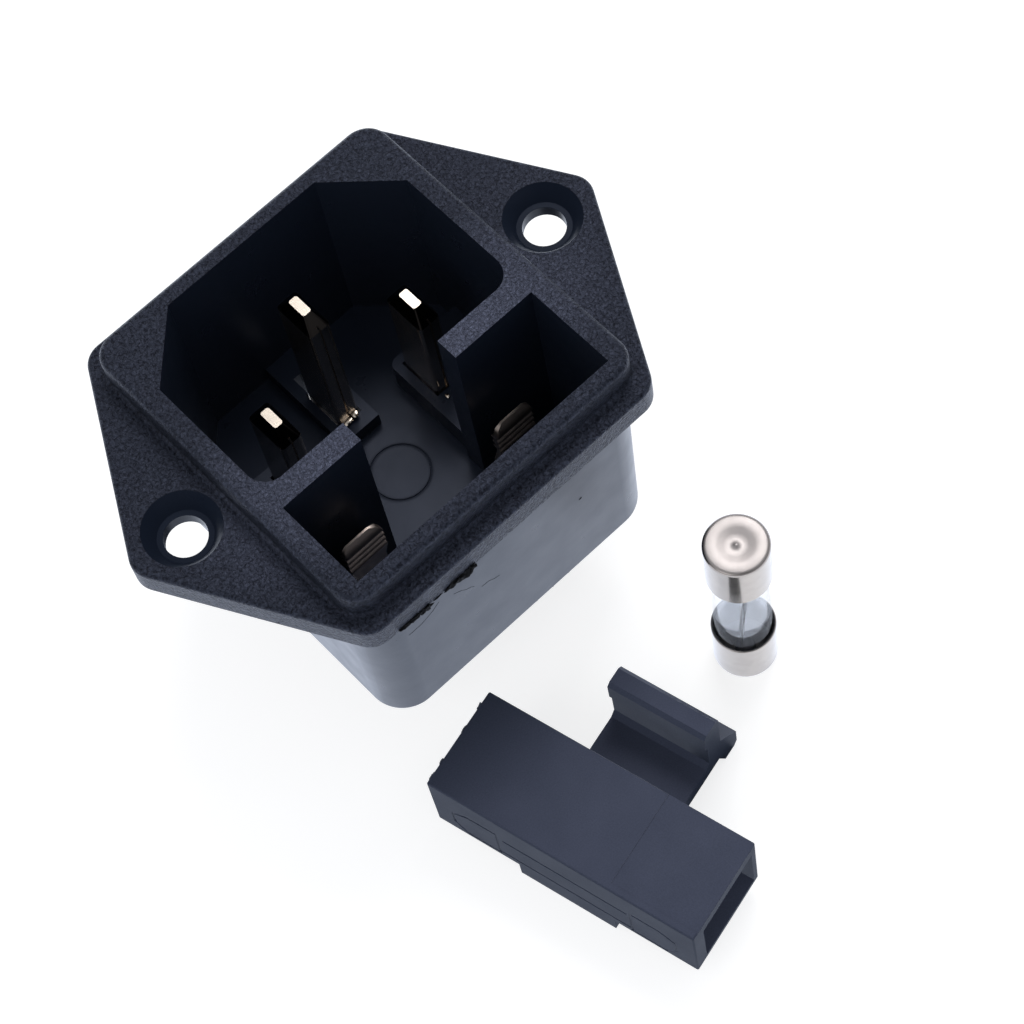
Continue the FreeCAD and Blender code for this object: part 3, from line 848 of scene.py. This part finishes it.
def engraved_drawer():
    """The drawer's moulding with the fuse outline cut into its front."""
    cutter = plain_object(outline_cutter(), "outline_cutter")
    wall = cutter.modifiers.new("wall", "SOLIDIFY")
    wall.thickness = sizes().mark_width
    wall.offset = 0
    wall.use_even_offset = True
    drawer = plain_object(merged_copy("fuse_drawer"), "drawer_blank")
    cut = drawer.modifiers.new("cut", "BOOLEAN")
    cut.object = cutter
    cut.operation = "DIFFERENCE"
    cut.solver = "EXACT"
    shell = applied(drawer)
    bpy.data.objects.remove(drawer)
    bpy.data.objects.remove(cutter)
    return shell


class INLET_OT_stage(bpy.types.Operator):
    """Sets the pale floor, the soft lamps and the camera"""
    bl_idname = "inlet.stage"
    bl_label = "Stage"

    def execute(self, context):
        scene = context.scene
        scene.view_settings.view_transform = "Standard"
        self.floor(scene)
        self.world(scene)
        self.lamps(scene)
        self.camera(scene)
        self.painted_streak_card()
        return {"FINISHED"}

    def seen(self, tree):
        """1 for rays from the camera, off gloss and through glass."""
        path = add_node(tree, "LightPath")
        both = add_node(
            tree, "Math", {"operation": "MAXIMUM"},
            links={0: path.outputs["Is Camera Ray"], 1: path.outputs["Is Glossy Ray"]},
        )
        return add_node(
            tree, "Math", {"operation": "MAXIMUM"},
            links={0: both.outputs[0], 1: path.outputs["Is Transmission Ray"]},
        ).outputs[0]

    def floor(self, scene):
        shell = bmesh.new()
        bmesh.ops.create_grid(shell, x_segments=1, y_segments=1, size=1.5)
        bmesh.ops.translate(shell, verts=shell.verts, vec=(0, 0, BENCH_Z))
        piece = plain_object(shell, "floor")
        material = bpy.data.materials.new("pale_floor")
        material.use_nodes = True
        tree = material.node_tree
        tree.nodes.clear()
        seen = self.seen(tree)
        tone = add_node(
            tree, "Mix", {"data_type": "RGBA"},
            {"A": rgba(colours().floor), "B": (0.45, 0.45, 0.45, 1)}, {"Factor": seen},
        )
        matt = add_node(tree, "BsdfDiffuse", links={"Color": tone.outputs["Result"]})
        # Painted reflection: for glossy rays the floor glows at 1.45, brighter than white, in a blue
        # tint
        mirrored = add_node(tree, "LightPath").outputs["Is Glossy Ray"]
        painted_reflection_glow = add_node(tree, "MapRange", {}, {"To Min": 0.75, "To Max": 1.45}, {"Value": mirrored})
        glow = add_node(
            tree, "Math", {"operation": "MULTIPLY"}, links={0: seen, 1: painted_reflection_glow.outputs["Result"]},
        )
        shine = add_node(
            tree, "Mix", {"data_type": "RGBA"}, {"A": (1, 1, 1, 1), "B": rgba(linear("e2ecff"))},
            {"Factor": mirrored},
        )
        light = add_node(
            tree, "Emission", links={"Color": shine.outputs["Result"], "Strength": glow.outputs[0]},
        )
        both = add_node(tree, "AddShader", links={0: matt.outputs[0], 1: light.outputs[0]})
        add_node(tree, "OutputMaterial", links={"Surface": both.outputs[0]})
        piece.data.materials.append(material)

    def painted_streak_card(self):
        """A dark strip above the floor, hidden from camera, shadows and diffuse light, that paints a
        dark reflected streak on the fuse's upper cap.
        """
        shell = bmesh.new()
        bmesh.ops.create_grid(shell, x_segments=1, y_segments=1, size=0.5)
        size = Matrix.Diagonal((CARD_SIZE, CARD_SIZE, 1, 1))
        turn = Matrix.Rotation(math.atan2(CARD_WAY.y, CARD_WAY.x), 4, "Z")
        place = Vector((FUSE_X, FUSE_Y, BENCH_Z + 0.2 * MM)) + CARD_WAY * CARD_AWAY
        bmesh.ops.transform(shell, matrix=Matrix.Translation(place) @ turn @ size, verts=shell.verts)
        piece = plain_object(shell, "painted_streak_card")
        material, tree, shader = new_material("black_card")
        shader.inputs["Base Color"].default_value = rgba(linear("101114"))
        shader.inputs["Roughness"].default_value = 0.9
        piece.data.materials.append(material)
        piece.visible_camera = False
        piece.visible_diffuse = False
        piece.visible_transmission = False
        piece.visible_shadow = False

    def world(self, scene):
        scene.world = bpy.data.worlds.new("studio")
        scene.world.use_nodes = True
        tree = scene.world.node_tree
        tree.nodes.clear()
        way = add_node(tree, "TexCoord").outputs["Generated"]
        height = add_node(tree, "SeparateXYZ", links={0: way}).outputs["Z"]
        wall = add_node(
            tree, "MapRange", {}, {"From Min": 0.1, "From Max": 0.55, "To Min": 1.0, "To Max": 0.4},
            {"Value": height},
        )
        dome = add_node(
            tree, "MapRange", {}, {"From Min": 0.62, "From Max": 0.85, "To Max": 0.3},
            {"Value": height},
        )
        total = add_node(
            tree, "Math", {"operation": "ADD"},
            links={0: wall.outputs["Result"], 1: dome.outputs["Result"]},
        )
        towards = add_node(
            tree, "VectorMath", {"operation": "DOT_PRODUCT"}, {1: CAMERA_PLACE.normalized()}, {0: way},
        )
        dimmed = add_node(
            tree, "MapRange", {}, {"From Min": 0.9, "From Max": 0.98, "To Min": 1.0, "To Max": 0.15},
            {"Value": towards.outputs["Value"]},
        )
        total = add_node(
            tree, "Math", {"operation": "MULTIPLY"},
            links={0: total.outputs[0], 1: dimmed.outputs["Result"]},
        )
        level = add_node(
            tree, "MapRange", {}, {"To Min": 0.6},
            {"Value": self.seen(tree), "To Max": total.outputs[0]},
        )
        sky = add_node(
            tree, "Background", {}, {"Color": rgba(linear("f4f8ff"))},
            {"Strength": level.outputs["Result"]},
        )
        add_node(tree, "OutputWorld", links={"Surface": sky.outputs[0]})

    def lamps(self, scene):
        for name, place, power, size in (
            ("softbox", (0.18, 0.12, 0.38), 0.75, 0.2),
            ("fill", (-0.35, -0.1, 0.35), 0.35, 0.3),
        ):
            lamp = bpy.data.lights.new(name, "AREA")
            lamp.energy = power
            lamp.size = size
            lamp.shape = "SQUARE"
            item = bpy.data.objects.new(name, lamp)
            item.location = place
            item.rotation_euler = (-Vector(place)).to_track_quat("-Z", "Y").to_euler()
            scene.collection.objects.link(item)

    def camera(self, scene):
        data = bpy.data.cameras.new("camera")
        data.sensor_width = 36
        data.lens = CAMERA_LENS
        data.clip_start = 0.01
        item = bpy.data.objects.new("camera", data)
        item.location = CAMERA_PLACE
        item.rotation_euler = CAMERA_TURN
        scene.collection.objects.link(item)
        scene.camera = item


class INLET_OT_housing(bpy.types.Operator):
    """Makes the housing with its eroded front and polished sides"""
    bl_idname = "inlet.housing"
    bl_label = "Housing"

    def execute(self, context):
        shell = merged_copy("housing")
        bmesh.ops.dissolve_limit(
            shell, angle_limit=math.radians(0.5), verts=shell.verts, edges=shell.edges,
        )
        moulding = to_object(shell, "housing_moulding", eroded_nylon(), "housing")
        softened(moulding, 0.07 * MM)
        to_object(self.torn_flash(), "torn_flash", torn_nylon_and_shade())
        return {"FINISHED"}

    def torn_flash(self):
        """Lumps of flash under the flange's edge, with burrs and hairlines on the body below it."""
        shells = [blob(place, radii, 0.9, seed) for seed, (place, radii) in enumerate(FLASH_LUMPS)]
        for line in HAIRLINES:
            shells.append(hairline([on_side(x, z) for x, z in line], 0.028 * MM))
        return joined(shells)


class INLET_OT_contacts(bpy.types.Operator):
    """Makes the pins, the fuse clips and their tabs"""
    bl_idname = "inlet.contacts"
    bl_label = "Pins and clips"

    def execute(self, context):
        # The last colour is the painted shade of the pin tips' slanted faces
        plate = nickel("nickel_on_brass", colours().nickel, 0.14, 0.28, 0.08 * MM, linear("24211f"))
        for name in ("earth_pin", "neutral_pin", "line_pin"):
            to_object(merged_copy(name), name + "_plated", plate, name)
        springs = {
            "line_fuse_clip": tarnished_nickel("tarnished_nickel", "ffe6d6", "dccfc6"),
            # The live terminal's strip is drawn darker than the line clip's
            "live_terminal": tarnished_nickel("darker_nickel", "c9b8ac", "8f867f"),
        }
        for name, low_x, high_x, top_z, left_r, right_r in SPRING_STRIPS:
            strip = beaded_strip(low_x, high_x, top_z, left_r, right_r)
            shell = joined([without_strip(name, top_z), strip])
            to_object(shell, name + "_plated", springs[name], name)
        lugs = joined([blob(place, radii, 0.4) for place, radii in FOOT_LUGS_AND_GLINTS])
        to_object(lugs, "foot_lugs_and_glints", plate)
        return {"FINISHED"}


class INLET_OT_drawer(bpy.types.Operator):
    """Makes the fuse drawer with its engraved fuse outline"""
    bl_idname = "inlet.drawer"
    bl_label = "Fuse drawer"

    def execute(self, context):
        nylon = drawer_nylon()
        drawer = to_object(engraved_drawer(), "drawer_moulding", nylon, "fuse_drawer")
        # It stands nearer to the body here than in the photo, so the body doesn't mirror it
        drawer.visible_glossy = False
        burrs = joined([
            blob(place, radii, 0.9, seed) for seed, (place, radii) in enumerate(DRAWER_BURRS)
        ])
        bmesh.ops.transform(burrs, matrix=drawer_place(), verts=burrs.verts)
        to_object(burrs, "drawer_burrs", nylon)
        return {"FINISHED"}


class INLET_OT_fuse(bpy.types.Operator):
    """Makes the glass tube, the caps, the wire and its solder"""
    bl_idname = "inlet.fuse"
    bl_label = "Fuse"

    def execute(self, context):
        plate = cap_plate()
        lining = cap_cement_and_shade()
        base = (FUSE_X, FUSE_Y, BENCH_Z)
        lower = turned(CAP_PROFILE, *base)
        lined(to_object(lower, "lower_cap", plate, "fuse_cap_lower"), lining)
        upper = mirrored_up(turned(CAP_PROFILE, *base), FUSE_HIGH.z + BENCH_Z)
        lined(to_object(upper, "upper_cap", plate, "fuse_cap_upper"), lining)
        to_object(turned(TUBE_PROFILE, *base), "glass_tube", fuse_glass(), "fuse_tube")
        solder = dull_solder()
        for name in ("fuse_solder_upper", "fuse_solder_lower"):
            to_object(merged_copy(name), name.replace("fuse_", "") + "_dome", solder, name)
        to_object(
            merged_copy("fuse_wire"), "fusible_wire",
            nickel("wire_plate", linear("8d8986"), 0.25, 0.4, 0.05 * MM), "fuse_wire",
        )
        return {"FINISHED"}


CLASSES = (
    InletSizes, InletColours, INLET_OT_stage, INLET_OT_housing, INLET_OT_contacts, INLET_OT_drawer,
    INLET_OT_fuse,
)
OPERATORS = [c for c in CLASSES if issubclass(c, bpy.types.Operator)]


class INLET_PT_panel(bpy.types.Panel):
    """Lists the pieces of the inlet"""
    bl_label = "Panel inlet socket"
    bl_space_type = "VIEW_3D"
    bl_region_type = "UI"
    bl_category = "Inlet"

    def draw(self, context):
        for group in (context.scene.inlet_sizes, context.scene.inlet_colours):
            for name in group.bl_rna.properties.keys():
                if name not in ("rna_type", "name"):
                    self.layout.prop(group, name)
        for operator in OPERATORS:
            self.layout.operator(operator.bl_idname)


def register():
    for item in CLASSES + (INLET_PT_panel,):
        bpy.utils.register_class(item)
    bpy.types.Scene.inlet_sizes = PointerProperty(type=InletSizes)
    bpy.types.Scene.inlet_colours = PointerProperty(type=InletColours)


def unregister():
    del bpy.types.Scene.inlet_colours
    del bpy.types.Scene.inlet_sizes
    for item in reversed(CLASSES + (INLET_PT_panel,)):
        bpy.utils.unregister_class(item)


def main():
    register()
    bpy.ops.inlet.stage()
    bpy.ops.inlet.housing()
    bpy.ops.inlet.contacts()
    bpy.ops.inlet.drawer()
    bpy.ops.inlet.fuse()


if __name__ == "__main__":
    main()
